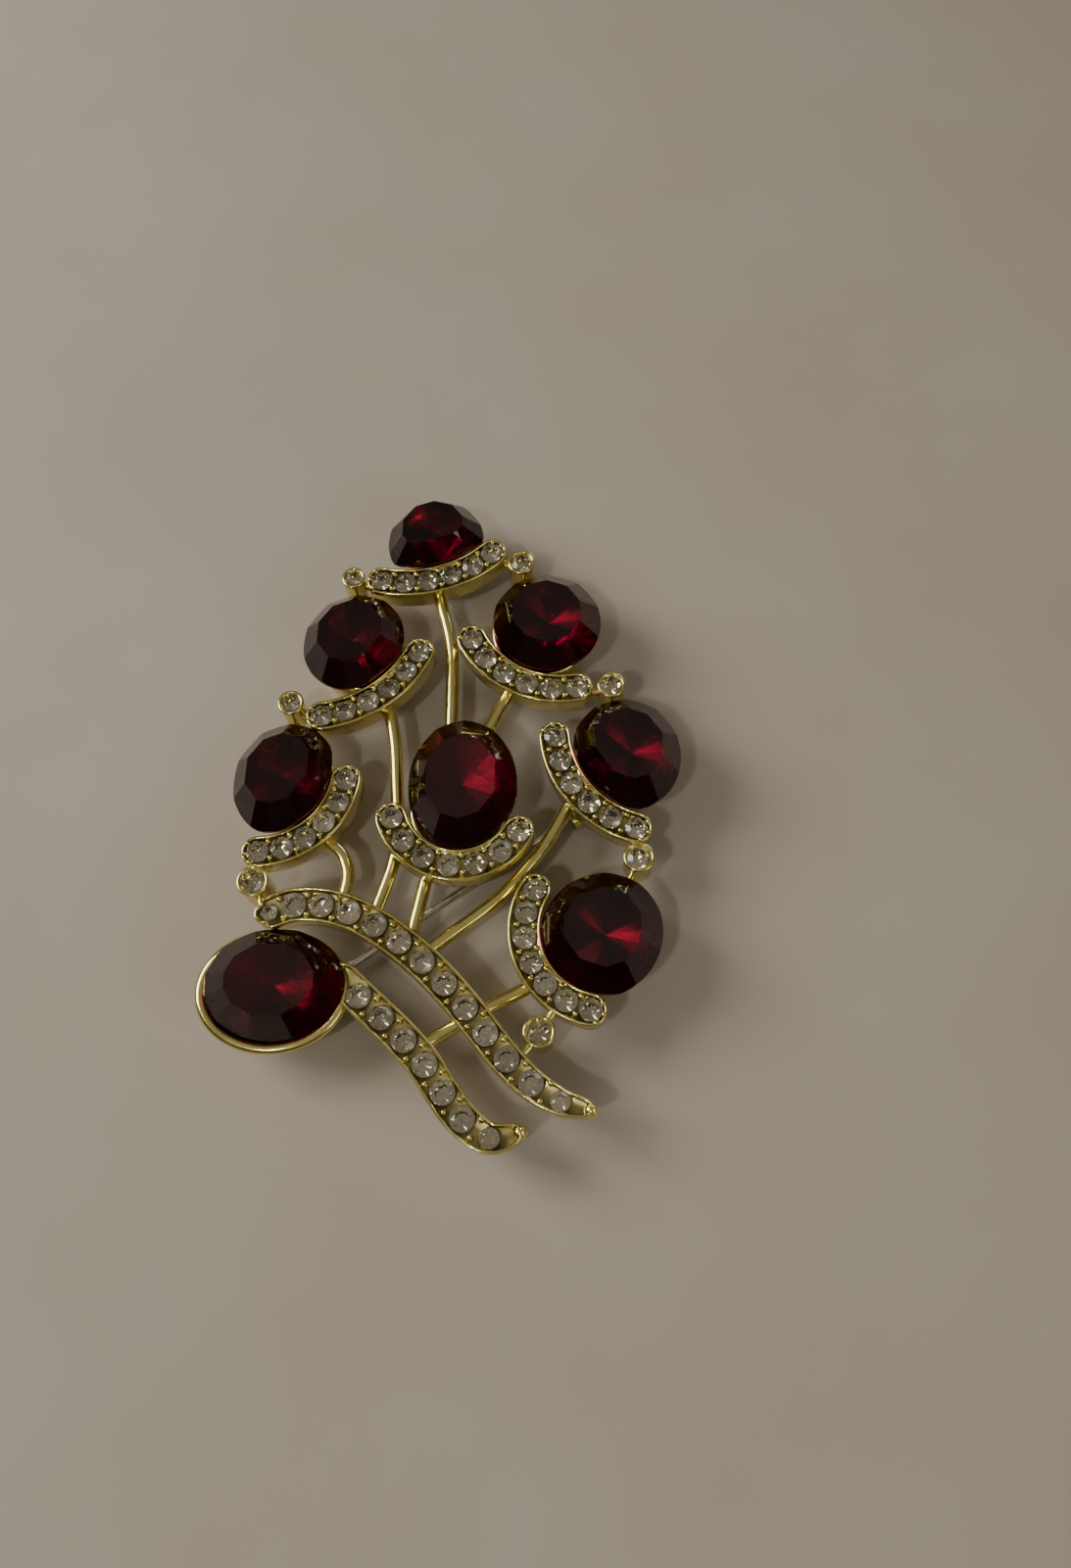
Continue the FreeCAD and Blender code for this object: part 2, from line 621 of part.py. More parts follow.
def catch():
    """A safety catch: a C-shaped housing open at the back, and a C-shaped rotor with a lever."""
    half = "Sizes.catch_length / 2"
    place = pin_frame("Sizes.pin_reach")
    # a sector measured from local -Y after the cylinder is laid along the pin
    spread = "(360 - Sizes.catch_opening)"

    def along(name, radius, start, length, angle=None):
        turned = f"{at(x=start)} * {at(pitch='90')} * {at(turn='-180 + Sizes.catch_opening / 2')}"
        cylinder = solid("Cylinder", name, turned, Radius=radius, Height=length)
        return bind(cylinder, Angle=angle) if angle else cylinder

    shell = along("catch_shell", "Sizes.catch_radius", f"-{half}", "Sizes.catch_length")
    post = solid("Box", "catch_post",
                 at(x="-Sizes.post_along / 2", y="-Sizes.post_across / 2"),
                 Length="Sizes.post_along", Width="Sizes.post_across",
                 Height="Sizes.collar_bottom - Sizes.pin_height")
    bore = along("catch_bore", "Sizes.catch_bore", f"-{half} + Sizes.lip_length",
                 "Sizes.catch_length - 2 * Sizes.lip_length")
    lips = along("catch_lips", "Sizes.lip_bore", f"-{half} - 1", "Sizes.catch_length + 2")
    mouth = doc.addObject("Part::Wedge", "catch_mouth")
    depth = "(2 * Sizes.catch_radius)"
    flare = f"({depth} * tan(Sizes.catch_opening / 2))"
    bind(mouth, Xmin=f"-{half} - 1", Xmax=f"{half} + 1", X2min=f"-{half} - 1",
         X2max=f"{half} + 1", Ymin="0", Ymax=depth, Zmin="-0.01", Zmax="0.01",
         Z2min=f"-{flare}", Z2max=flare, Placement=at(roll="-90"))
    housing = group("MultiFuse", "catch_solid", [shell, post])
    for step, tool in enumerate((bore, lips, mouth)):
        housing = boolean("Cut", f"catch_cut_{step}", housing, tool)
    keep("catch_housing", housing, place)

    length = "(Sizes.catch_length - 2 * Sizes.lip_length - 2 * Sizes.rotor_gap)"
    drum = along("rotor_drum", "Sizes.rotor_radius", f"-{length} / 2", length)
    lever = solid("Box", "rotor_lever",
                  f"{at(roll='-90 + Sizes.lever_angle')} * "
                  + at(x="-Sizes.lever_length / 2", y="Sizes.rotor_bore + 0.1",
                       z="-Sizes.lever_thickness / 2"),
                  Length="Sizes.lever_length", Width="Sizes.lever_reach - Sizes.rotor_bore - 0.1",
                  Height="Sizes.lever_thickness")
    rotor_bore = along("rotor_hollow", "Sizes.rotor_bore", f"-{half}", "Sizes.catch_length")
    slot = solid("Box", "rotor_slot",
                 at(x=f"-{half}", y="-Sizes.rotor_slot / 2", z="-2 * Sizes.rotor_radius"),
                 Length="Sizes.catch_length", Width="Sizes.rotor_slot",
                 Height="2 * Sizes.rotor_radius")
    rotor = group("MultiFuse", "rotor_solid", [drum, lever])
    for step, tool in enumerate((rotor_bore, slot)):
        rotor = boolean("Cut", f"rotor_cut_{step}", rotor, tool)
    keep("catch_rotor", rotor, place)


# ---------------------------------------------------------------- assembly
def build():
    fill_sheet()
    for name in FLOWERS:
        flower(name)
    oval_space = oval_cup()
    for name, values in TAILS.items():
        tail = ribbon_tail(name, *values)
        tail = boolean("Cut", name + "_tail_beside_cup", tail, oval_space)
        keep(name + "_tail", boolean("Cut", name + "_tail_beside_stone", tail,
                                     PARTS["oval_red_stone"]))
    for name, values in STEMS.items():
        stem(name, *values)
    link_clears = []
    for name, values in LINKS.items():
        clear, place = link(name, *values)
        link_clears.append(bind(group("Compound", name + "_clear_placed", [clear]),
                                Placement=place))
    keep("link_clear_stones", group("Compound", "link_clear_set", link_clears))
    hinge()
    pin()
    catch()
    doc.recompute()


def check():
    for thing in doc.Objects:
        if {"Invalid", "Error"} & set(thing.State):
            raise RuntimeError(f"{thing.Name} did not compute")
    for label, thing in PARTS.items():
        if thing.Shape.isNull() or not thing.Shape.isValid() or not thing.Shape.Solids:
            raise RuntimeError(f"{label} has no valid solid")


def export():
    os.makedirs("parts", exist_ok=True)
    whole = FreeCAD.BoundBox()
    for label, thing in PARTS.items():
        thing.Shape.exportStep(f"parts/{label}.step")
        whole.add(thing.Shape.BoundBox)
        print(f"{label}: {len(thing.Shape.Solids)} solids, {thing.Shape.Volume:.2f} mm3")
    print(f"whole: {whole}")


build()
check()
export()
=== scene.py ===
"""Looks of the flower-spray brooch: cut glass stones, cast gold-plated settings and steel pin.

Shapes are built in millimetres in the brooch's own frame, and scaled to metres when a piece is
made. +Z is the face of the brooch, +Y points to its top flower.
"""
import bmesh
import bpy
import math
import random
from mathutils import Matrix, Vector


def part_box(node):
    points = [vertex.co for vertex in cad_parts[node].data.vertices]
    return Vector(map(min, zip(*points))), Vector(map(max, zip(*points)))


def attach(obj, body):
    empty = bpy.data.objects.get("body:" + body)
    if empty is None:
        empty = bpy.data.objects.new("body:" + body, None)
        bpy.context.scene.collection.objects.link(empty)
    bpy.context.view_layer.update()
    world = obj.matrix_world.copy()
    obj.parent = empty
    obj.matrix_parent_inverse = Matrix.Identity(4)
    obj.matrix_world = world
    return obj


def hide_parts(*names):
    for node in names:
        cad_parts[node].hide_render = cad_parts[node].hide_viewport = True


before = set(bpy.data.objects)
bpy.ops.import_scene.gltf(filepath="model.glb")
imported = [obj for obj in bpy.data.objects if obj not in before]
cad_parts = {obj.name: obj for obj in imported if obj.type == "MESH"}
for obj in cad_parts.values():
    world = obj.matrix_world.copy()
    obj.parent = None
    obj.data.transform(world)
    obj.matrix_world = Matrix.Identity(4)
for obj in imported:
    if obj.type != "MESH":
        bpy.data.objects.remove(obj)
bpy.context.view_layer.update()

MM = 0.001
TAU = math.tau
FLOWERS = ("top", "upper_left", "upper_right", "left", "right", "lower_right", "centre")
LINKS = ("top_left", "top_right", "side_left", "side_right", "foot_left", "foot_right", "tail")

# ---------------------------------------------------------------- driving sizes, millimetres
# Bands: the flowers' collars and the ribbon tails. Painted shade: a darker gold on a band's upward
# faces between its channel's floor and a set depth below its top.
BAND_HALF_WIDTH = 1.5
BAND_HEIGHT = 2.8
RIM = 0.26
RIM_SWELL = 0.06
BOTTOM_EDGE = 0.35
CHANNEL_DEPTH = 0.75
TAIL_HALF_WIDTH = 1.6
TAIL_HEIGHT = 2.6
TIP_HALF_WIDTH = 0.45
TIP_BALL = 0.7
# How far below a band's top the painted shade of the recesses reaches.
SHADE_REACH = 2.2

# A tail opens over this share of its length; a higher power keeps it wide closer to its tip.
OPENING_SHARE = 0.09
NARROWING_POWER = 7

# Cups behind the red stones. The oval cup's rim leans by OVAL_RIM_SHIFT from foot to top.
CUP_WALL = 0.5
CUP_FLOOR = 0.7
CUP_FOOT_EDGE = 0.35
CUP_TAPER = 0.84
CUP_BELOW_TOP = 0.2
OVAL_RIM_HALF = 0.55
OVAL_RIM_SWELL = 0.2
OVAL_RIM_SHIFT = Vector((0.05, -0.3))

# What holds the clear stones: grains of metal between them, seats and link bezels.
GRAIN = 0.31
GRAIN_HEAD = 0.15
GRAIN_FROM_EDGE = 0.66
CLEAR_GIRDLE_BELOW_TOP = 0.2
SEAT_GAP = 0.03
LINK_WIRE = 0.19
LINK_STONE_SINK = 0.12

# Corners closer together than this become one corner.
WELD = 0.0005
PIECE_WELD = 0.0008
STONE_WELD = 0.004

# Degrees. Edges sharper than the smoothing angles stay crisp; clear stones tip by up to the last.
CAST_SMOOTHING = 38
WIRE_SMOOTHING = 60
STONE_TIP = 5

# Long crown facets on the red stones.
ROUND_STONE_MAINS = 10
OVAL_STONE_MAINS = 12

# Steps of a small quarter-round edge, in radians.
EDGE_ANGLES = (0.5, 1.0, math.pi / 2)


# ---------------------------------------------------------------- reading the frame
def welded(node):
    """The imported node's mesh as a bmesh in millimetres, with its split corners joined."""
    bm = bmesh.new()
    bm.from_mesh(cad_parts[node].data)
    bmesh.ops.scale(bm, vec=(1 / MM,) * 3, verts=bm.verts)
    bmesh.ops.remove_doubles(bm, verts=bm.verts, dist=WELD)
    return bm


def node_points(node):
    """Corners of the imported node's mesh, in millimetres."""
    bm = welded(node)
    points = [v.co.copy() for v in bm.verts]
    bm.free()
    return points


def plan_circle(points):
    """Middle of some points in plan, and half their width."""
    low = Vector((min(p.x for p in points), min(p.y for p in points)))
    high = Vector((max(p.x for p in points), max(p.y for p in points)))
    return (low + high) / 2, (high.x - low.x) / 2


def round_solids(node):
    """Middle of each separate round solid of a node, at its top, and its radius."""
    bm = welded(node)
    seen = set()
    found = []
    for first in bm.verts:
        if first in seen:
            continue
        seen.add(first)
        queue = [first]
        members = []
        while queue:
            v = queue.pop()
            members.append(v.co)
            for edge in v.link_edges:
                other = edge.other_vert(v)
                if other not in seen:
                    seen.add(other)
                    queue.append(other)
        middle, radius = plan_circle(members)
        found.append((Vector((middle.x, middle.y, max(p.z for p in members))), radius))
    bm.free()
    return sorted(found, key=lambda stone: (stone[0].x, stone[0].y))


def circle_through(a, b, c):
    """Centre and radius of the circle through three points of the plan."""
    d = 2 * (a.x * (b.y - c.y) + b.x * (c.y - a.y) + c.x * (a.y - b.y))
    sa, sb, sc = (p.x * p.x + p.y * p.y for p in (a, b, c))
    x = (sa * (b.y - c.y) + sb * (c.y - a.y) + sc * (a.y - b.y)) / d
    y = (sa * (c.x - b.x) + sb * (a.x - c.x) + sc * (b.x - a.x)) / d
    return Vector((x, y)), math.hypot(a.x - x, a.y - y)


def collar_row(name):
    """The arc of a flower's clear stones: its middle and radius, each stone's angle, and the
    stones' own radius."""
    stones = round_solids(name + "_clear_stones")
    plan = [p.xy for p, _ in stones]
    first, last = max(((a, b) for a in plan for b in plan), key=lambda ab: (ab[0] - ab[1]).length)
    between = min(plan, key=lambda p: abs((p - first).length - (p - last).length))
    middle, radius = circle_through(first, between, last)
    outward = (between - middle).normalized()
    angles = sorted(-outward.angle_signed(p - middle) for p in plan)
    base = math.atan2(outward.y, outward.x)
    return middle, radius, [base + a for a in angles], stones[0][1]


def hull(points):
    """Corners of the smallest convex outline round points of the plan, anticlockwise."""
    plan = sorted({(round(p.x, 4), round(p.y, 4)) for p in points})
    sides = []
    for ordered in (plan, plan[::-1]):
        side = []
        for p in ordered:
            while len(side) > 1 and ((side[-1][0] - side[-2][0]) * (p[1] - side[-2][1])
                                     <= (side[-1][1] - side[-2][1]) * (p[0] - side[-2][0])):
                side.pop()
            side.append(p)
        sides += side[:-1]
    return [Vector(p) for p in sides]


# ---------------------------------------------------------------- making pieces
def finish_piece(name, bm, material, node, smooth_angle=None):
    """Turn a bmesh in millimetres into a piece of the brooch's body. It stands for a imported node,
    or it's an extra where the node is None."""
    bmesh.ops.remove_doubles(bm, verts=bm.verts, dist=PIECE_WELD)
    bmesh.ops.recalc_face_normals(bm, faces=bm.faces)
    bmesh.ops.scale(bm, vec=(MM,) * 3, verts=bm.verts)
    mesh = bpy.data.meshes.new(name)
    bm.to_mesh(mesh)
    bm.free()
    if smooth_angle is not None:
        mesh.shade_smooth()
        mesh.set_sharp_from_angle(angle=math.radians(smooth_angle))
    piece = bpy.data.objects.new(name, mesh)
    bpy.context.scene.collection.objects.link(piece)
    mesh.materials.append(material)
    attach(piece, "brooch")
    if node:
        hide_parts(node)
    return piece


def combine(base, tool, operation, tries=5):
    """Boolean of two closed bmeshes; both are used up. Where surfaces that nearly coincide spoil
    the result, the tool is moved by a few thousandths of a millimetre and the cut is repeated."""
    for bm in (base, tool):
        bmesh.ops.remove_doubles(bm, verts=bm.verts, dist=WELD)
        bmesh.ops.recalc_face_normals(bm, faces=bm.faces)
    before, added = base.calc_volume(), tool.calc_volume()
    if operation == "UNION":
        least, most = 0.95 * max(before, added), 1.01 * (before + added)
    else:
        least, most = 0.3 * before, 1.01 * before
    for _ in range(tries):
        result = one_boolean(base, tool, operation)
        if least < result.calc_volume() < most:
            break
        result.free()
        bmesh.ops.translate(tool, vec=(0.003, -0.002, 0.0025), verts=tool.verts)
    else:
        raise RuntimeError("a boolean failed")
    base.free()
    tool.free()
    return result


def one_boolean(base, tool, operation):
    """The boolean of two bmeshes as a fresh bmesh."""
    objects = []
    for bm in (base, tool):
        mesh = bpy.data.meshes.new("scratch")
        bm.to_mesh(mesh)
        scratch = bpy.data.objects.new("scratch", mesh)
        bpy.context.scene.collection.objects.link(scratch)
        objects.append(scratch)
    modifier = objects[0].modifiers.new("cut", "BOOLEAN")
    modifier.object = objects[1]
    modifier.operation = operation
    modifier.solver = "EXACT"
    bpy.context.view_layer.update()
    result = bmesh.new()
    result.from_object(objects[0], bpy.context.evaluated_depsgraph_get())
    for scratch in objects:
        mesh = scratch.data
        bpy.data.objects.remove(scratch)
        bpy.data.meshes.remove(mesh)
    return result


def merge(bm, other):
    """Add a second bmesh to the first one; the second is used up."""
    mesh = bpy.data.meshes.new("scratch")
    other.to_mesh(mesh)
    other.free()
    bm.from_mesh(mesh)
    bpy.data.meshes.remove(mesh)


def loft(loops, closed_ends=False):
    """Skin between closed loops of equal length; the end loops are filled when asked."""
    bm = bmesh.new()
    rows = [[bm.verts.new(p) for p in loop] for loop in loops]
    for low, high in zip(rows, rows[1:]):
        for i in range(len(low)):
            j = (i + 1) % len(low)
            bm.faces.new((low[i], low[j], high[j], high[i]))
    if closed_ends:
        bm.faces.new(rows[0][::-1])
        bm.faces.new(rows[-1])
    bmesh.ops.remove_doubles(bm, verts=bm.verts, dist=WELD)
    return bm


def ellipse(centre, half_x, half_y, height, sides):
    """Points of a level ellipse round a centre given in plan."""
    return [Vector((centre.x + half_x * math.cos(TAU * k / sides),
                    centre.y + half_y * math.sin(TAU * k / sides), height))
            for k in range(sides)]


def circle(centre, radius, height, sides):
    """Points of a level circle round a centre given in plan."""
    return ellipse(centre, radius, radius, height, sides)


def rolled_edge(swell, half, top):
    """Pairs (inset, height) over a half-round rim that stands out past its band's edge."""
    return [(half - swell - half * math.cos(a), top - half + half * math.sin(a))
            for a in (math.pi * k / 8 for k in range(9))]


def spline(a, b, c, d, u):
    """A point between b and c, at share u, on a smooth curve through all four."""
    return 0.5 * (2 * b + (c - a) * u + (2 * a - 5 * b + 4 * c - d) * u * u
                  + (3 * b - a - 3 * c + d) * u ** 3)


# ---------------------------------------------------------------- cut stones
def cut(bm, point, normal):
    """Take away what lies beyond a plane and close the cut with one flat facet."""
    everything = bm.verts[:] + bm.edges[:] + bm.faces[:]
    made = bmesh.ops.bisect_plane(bm, geom=everything, dist=1e-5, plane_co=point, plane_no=normal,
                                  clear_outer=True)
    rim = [item for item in made["geom_cut"] if isinstance(item, bmesh.types.BMEdge)]
    if len(rim) > 2:
        bmesh.ops.holes_fill(bm, edges=rim, sides=0)


def facet_row(bm, outline, centre, count, offset, start, end):
    """Cut a row of facets. Each plane passes two levels, given as (share of the girdle, height)."""
    (share_a, height_a), (share_b, height_b) = start, end
    rise = height_b - height_a
    for k in range(count):
        angle = TAU * (k + offset) / count
        heading = Vector((math.cos(angle), math.sin(angle)))
        reach = max((p - centre).dot(heading) for p in outline)
        normal = Vector((heading.x * abs(rise), heading.y * abs(rise),
                         math.copysign((share_a - share_b) * reach, rise)))
        spot = centre + heading * reach * share_a
        cut(bm, Vector((spot.x, spot.y, height_a)), normal)


def cut_stone(outline, centre, rows, bottom, top):
    """A faceted stone: a block of the girdle's outline, cut row by row."""
    bm = loft([[Vector((p.x, p.y, z)) for p in outline] for z in (bottom, top)], True)
    bmesh.ops.recalc_face_normals(bm, faces=bm.faces)
    for row in rows:
        facet_row(bm, outline, centre, *row)
    return convex_skin(bm)


def convex_skin(bm):
    """A fresh closed skin round the corners of a convex block, with flat facets in one piece."""
    skin = bmesh.new()
    for v in bm.verts:
        skin.verts.new(v.co)
    bm.free()
    bmesh.ops.remove_doubles(skin, verts=skin.verts, dist=STONE_WELD)
    made = bmesh.ops.convex_hull(skin, input=skin.verts)
    inside = [v for v in made["geom_interior"] if isinstance(v, bmesh.types.BMVert)]
    bmesh.ops.delete(skin, geom=inside, context="VERTS")
    bmesh.ops.dissolve_limit(skin, angle_limit=math.radians(0.4), verts=skin.verts,
                             edges=skin.edges)
    return skin


def smooth_outline(corners, pieces=3):
    """Round off a polygon with a closed curve through its corners."""
    n = len(corners)
    points = []
    for i in range(n):
        a, b, c, d = (corners[(i + k) % n] for k in (-1, 0, 1, 2))
        points += [spline(a, b, c, d, k / pieces) for k in range(pieces)]
    return points


def clear_gem(radius, sides=8):
    """A small round brilliant about the origin, with its girdle at height zero."""
    origin = Vector((0, 0))
    outline = [p.xy for p in circle(origin, radius, 0, 32)]
    crown, pavilion, girdle = 0.36 * radius, 0.86 * radius, 0.03 * radius
    rows = [(sides, 0, (1, girdle), (0.56, crown)),
            (2 * sides, 0.5, (1, girdle), (0.79, 0.62 * crown)),
            (sides, 0.5, (0.86, 0.55 * crown), (0.56, crown)),
            (sides, 0, (1, -girdle), (0.0, -pavilion)),
            (2 * sides, 0.5, (1, -girdle), (0.5, -0.56 * pavilion))]
    return cut_stone(outline, origin, rows, -pavilion, crown)


def paint_recess_shade(piece, top):
    """Paint shade on the channel's floor and the stones' seats with a darker gold."""
    mesh = piece.data
    mesh.materials.append(SHADED_RECESS_GOLD)
    for face in mesh.polygons:
        depth = top - face.center.z / MM
        # Painted shade: upward faces from just above the channel's floor down to the set depth get
        # the darker gold.
        if CHANNEL_DEPTH - 0.05 < depth < SHADE_REACH and face.normal.z > 0.15:
            face.material_index = 1


def foil_back(piece, finish):
    """Give the girdle and the facets below it the foil that costume stones are backed with."""
    piece.data.materials.append(finish)
    for face in piece.data.polygons:
        if face.normal.z < 0.1:
            face.material_index = 1


def clear_stones(name, node, places):
    """One row of clear stones, each turned and tipped a little, as stones set by hand are.
    Each place is a point at the girdle and the stone's radius."""
    chance = random.Random(name)
    bm = bmesh.new()
    for place, radius in places:
        gem = clear_gem(radius)
        tip = Matrix.Rotation(math.radians(chance.uniform(-STONE_TIP, STONE_TIP)), 4, "X")
        tip @= Matrix.Rotation(math.radians(chance.uniform(-STONE_TIP, STONE_TIP)), 4, "Y")
        turn = Matrix.Rotation(chance.uniform(0, TAU), 4, "Z")
        gem.transform(Matrix.Translation(place) @ tip @ turn)
        merge(bm, gem)
    foil_back(finish_piece(name, bm, CLEAR_GLASS, node), SILVER_FOIL)


def red_stone_plan(node):
    """Outline, middle, heights and lean of a red stone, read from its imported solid."""
    points = node_points(node)
    corners = hull(points)
    centre = sum(corners, Vector((0, 0))) / len(corners)
    bm = welded(node)
    table = max(bm.faces, key=lambda f: f.calc_center_median().z)
    lean = Vector((-table.normal.x, -table.normal.y)) / table.normal.z
    bm.free()

    def level(p):
        return p.z - lean.dot(p.xy - centre)

    edge = [level(p) for p in points if min((p.xy - c).length for c in corners) < 0.02]
    heights = [level(p) for p in points]
    return corners, centre, lean, min(heights), min(edge), max(edge), max(heights)


def red_stone(node, mains):
    """A large stone: flat table, one row of long crown facets, small break facets, pavilion."""
    corners, centre, lean, culet, low, high, table = red_stone_plan(node)
    outline = hull(smooth_outline(corners))
    crown = table - high
    depth = low - culet
    rows = [(mains, 0, (0.97, high), (0.62, table)),
            (2 * mains, 0.5, (1, high), (0.885, high + 0.5 * crown)),
            (mains, 0.5, (0.88, high + 0.5 * crown), (0.66, table)),
            (mains, 0.5, (1, low), (0.12, low - depth)),
            (2 * mains, 0.5, (1, low), (0.6, low - 0.36 * depth))]
    bm = cut_stone(outline, centre, rows, culet, table)
    for v in bm.verts:
        v.co.z += lean.dot(v.co.xy - centre)
    return bm


def finish_red_stone(node, bm):
    """Turn a cut red stone into its piece, with its foil."""
    piece = finish_piece(node + "_cut", bm, RED_GLASS, node)
    foil_back(piece, RED_FOIL)


# ---------------------------------------------------------------- bands with raised rims
def band_loop(line, headings, half_widths, inset, height, cap=10):
    """A closed line at this height, inset from a band's edge all round, with round ends."""
    points = []
    count = len(line)

    def side(i, sign):
        reach = max(half_widths[i] - inset, 0)
        across = Vector((-headings[i].y, headings[i].x)) * sign
        return line[i] + across * reach

    def end(i, forward):
        reach = max(half_widths[i] - inset, 0)
        along = headings[i] * forward
        across = Vector((-headings[i].y, headings[i].x)) * forward
        for k in range(1, cap):
            a = math.pi * k / cap
            points.append(line[i] + across * reach * math.cos(a) + along * reach * math.sin(a))

    points += [side(i, 1) for i in range(count)]
    end(count - 1, 1)
    points += [side(i, -1) for i in reversed(range(count))]
    end(0, -1)
    return [Vector((p.x, p.y, height)) for p in points]


def rim_profile(top, height):
    """Pairs (inset, height) from the underside round the rounded rim to the channel's floor.
    An inset past the band's middle line closes the band there."""
    bottom = top - height
    floor_level = top - CHANNEL_DEPTH
    past_middle = 9
    profile = [(past_middle, bottom), (BOTTOM_EDGE, bottom)]
    profile += [(BOTTOM_EDGE * (1 - math.sin(a)), bottom + BOTTOM_EDGE * (1 - math.cos(a)))
                for a in EDGE_ANGLES]
    profile += [(0.0, top - 1.2), (-RIM_SWELL, top - 0.75), (-RIM_SWELL, top - 0.45)]
    profile += rolled_edge(RIM_SWELL, (RIM + RIM_SWELL) / 2, top)
    profile += [(RIM, floor_level + 0.06), (RIM + 0.08, floor_level), (past_middle, floor_level)]
    return profile


def band(line, headings, half_widths, top, height):
    """A band with a channel between its rims, along a line."""
    return loft([band_loop(line, headings, half_widths, inset, z)
                 for inset, z in rim_profile(top, height)])


def seat_tool(places, depth=1.15, sides=24):
    """Conical seats for the clear stones, open at the top."""
    bm = bmesh.new()
    for place, stone_radius in places:
        radius = stone_radius + SEAT_GAP
        profile = ((radius, -1), (radius, 0.05), (0.3 * radius, depth * stone_radius))
        merge(bm, loft([circle(place, r, place.z - drop, sides) for r, drop in profile], True))
    return bm


def grains(spots, top, radius=GRAIN, foot=CHANNEL_DEPTH + 0.1, sides=12):
    """Small round-headed posts of metal that hold the stones, a little above the rims."""
    shoulder = top - GRAIN_HEAD
    profile = [(radius, top - foot), (radius, shoulder)]
    profile += [(radius * math.cos(a), shoulder + radius * math.sin(a)) for a in (0.45, 0.9, 1.35)]
    bm = bmesh.new()
    for spot in spots:
        merge(bm, loft([circle(spot, r, z, sides) for r, z in profile], True))
    return bm


def grain_spots(row, half_width, end_reach=1.28):
    """Two grains between each pair of neighbours, and a fan of three past each end."""
    spots = []
    for a, b in zip(row, row[1:]):
        across = Vector((-(b - a).y, (b - a).x)).normalized() * (half_width - GRAIN_FROM_EDGE)
        spots += [(a + b) / 2 + across, (a + b) / 2 - across]
    for last, before in ((row[0], row[1]), (row[-1], row[-2])):
        outward = (last - before).normalized() * end_reach
        spots += [last + Matrix.Rotation(math.radians(turn), 2) @ outward for turn in (-50, 0, 50)]
    return spots


def cup(centre, radius, bottom, top, sides=48):
    """A tapered socket with a rounded foot and lip, as pairs (radius, height) turned round."""
    low = radius - (1 - CUP_TAPER) * radius
    axis = 0.001
    edge = CUP_FOOT_EDGE
    profile = [(axis, bottom), (low - edge, bottom)]
    profile += [(low - edge * (1 - math.sin(a)), bottom + edge * (1 - math.cos(a)))
                for a in EDGE_ANGLES]
    half = CUP_WALL / 2
    profile += [(radius - half + half * math.cos(a), top - half + half * math.sin(a))
                for a in (math.pi * k / 6 for k in range(7))]
    profile += [(low - CUP_WALL, bottom + CUP_FLOOR), (axis, bottom + CUP_FLOOR)]
    return loft([circle(centre, r, z, sides) for r, z in profile], True)


def arc_line(middle, radius, first, last, count=56):
    """Points of an arc in plan, and the headings along it."""
    angles = [first + (last - first) * k / (count - 1) for k in range(count)]
    line = [middle + radius * Vector((math.cos(a), math.sin(a))) for a in angles]
    headings = [Vector((-math.sin(a), math.cos(a))) for a in angles]
    return line, headings


def flower(name):
    """One flower: casting with collar, cup and bead grains, red stone and row of clear stones."""
    middle, radius, angles, stone_radius = collar_row(name)
    node = name + "_setting"
    low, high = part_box(node)
    top = high.z / MM
    bottom = low.z / MM
    girdle = top - CLEAR_GIRDLE_BELOW_TOP
    row = [middle + radius * Vector((math.cos(a), math.sin(a))) for a in angles]
    places = [(Vector((p.x, p.y, girdle)), stone_radius) for p in row]
    line, headings = arc_line(middle, radius, angles[0], angles[-1])
    casting = band(line, headings, [BAND_HALF_WIDTH] * len(line), top, BAND_HEIGHT)

    cup_centre, foot_radius = plan_circle([p for p in node_points(node) if p.z < bottom + 0.001])
    socket = cup(cup_centre, foot_radius / CUP_TAPER, bottom, top - CUP_BELOW_TOP)
    stone = red_stone(name + "_red_stone", ROUND_STONE_MAINS)
    casting = combine(casting, socket, "UNION")
    casting = combine(casting, seat_tool(places), "DIFFERENCE")
    casting = combine(casting, stone.copy(), "DIFFERENCE")

    merge(casting, grains(grain_spots(row, BAND_HALF_WIDTH), top))
    paint_recess_shade(finish_piece(node + "_cast", casting, GOLD, node, CAST_SMOOTHING), top)
    finish_red_stone(name + "_red_stone", stone)
    clear_stones(name + "_clear_stones_cut", name + "_clear_stones", places)


# ---------------------------------------------------------------- oval cup and ribbon tails
def oval_loop(half_long, half_wide, inset, sides=96):
    """A closed line inset from an ellipse about the origin. Far inside it's a smaller ellipse,
    because an even inset would cross itself there."""
    points = []
    for k in range(sides):
        a = TAU * k / sides
        spot = Vector((half_long * math.cos(a), half_wide * math.sin(a)))
        if inset > 1.2:
            spot *= (half_wide - inset) / half_wide
        else:
            across = Vector((math.cos(a) * half_wide, math.sin(a) * half_long))
            spot -= across.normalized() * inset
        points.append(spot)
    return points


